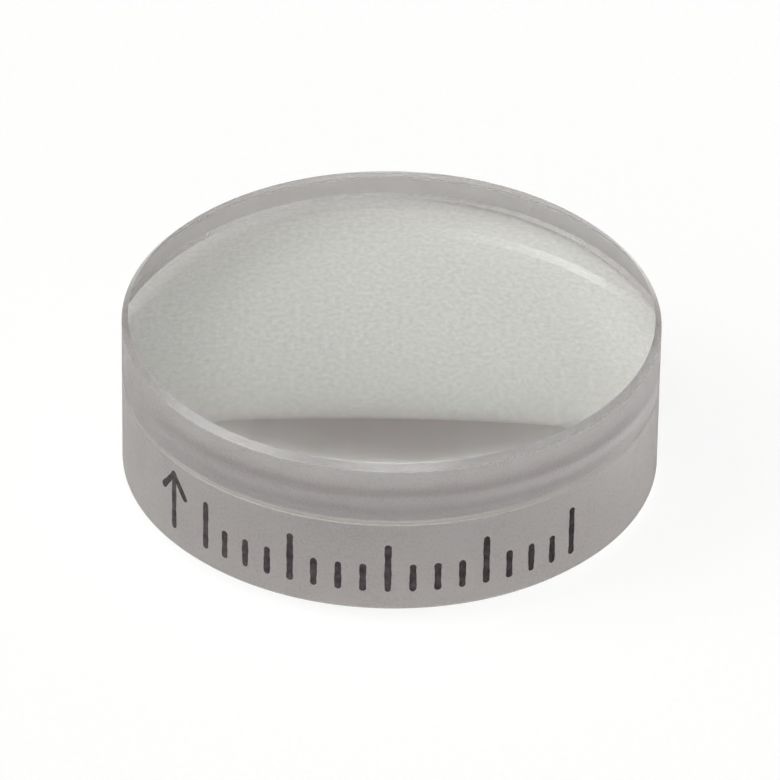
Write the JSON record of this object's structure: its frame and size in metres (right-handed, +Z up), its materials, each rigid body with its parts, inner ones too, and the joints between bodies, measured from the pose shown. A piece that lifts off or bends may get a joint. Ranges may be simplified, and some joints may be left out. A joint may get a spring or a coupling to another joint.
{
  "type": "achromatic doublet lens",
  "caption": "Round cemented doublet: a biconvex crown element bonded to a thin flint meniscus, with polished faces, a fine-ground edge and bevelled rims.",
  "frame": {"origin": "rear vertex, where the optical axis leaves the flint's rear face; the lens stands on it", "axes": "+Z up the optical axis, from the rear face to the steeper front face"},
  "size_m": [0.0126, 0.0126, 0.0053],
  "materials": {
    "crown_glass": "polished face, fine-ground edge",
    "optical_cement": "clear cured film, slightly amber at the edge",
    "flint_glass": "polished faces, fine-ground edge with an ink mark"
  },
  "bodies": {
    "root": {"crown_element": "crown_glass", "cement_layer": "optical_cement", "flint_element": "flint_glass"}
  },
  "joints": []
}
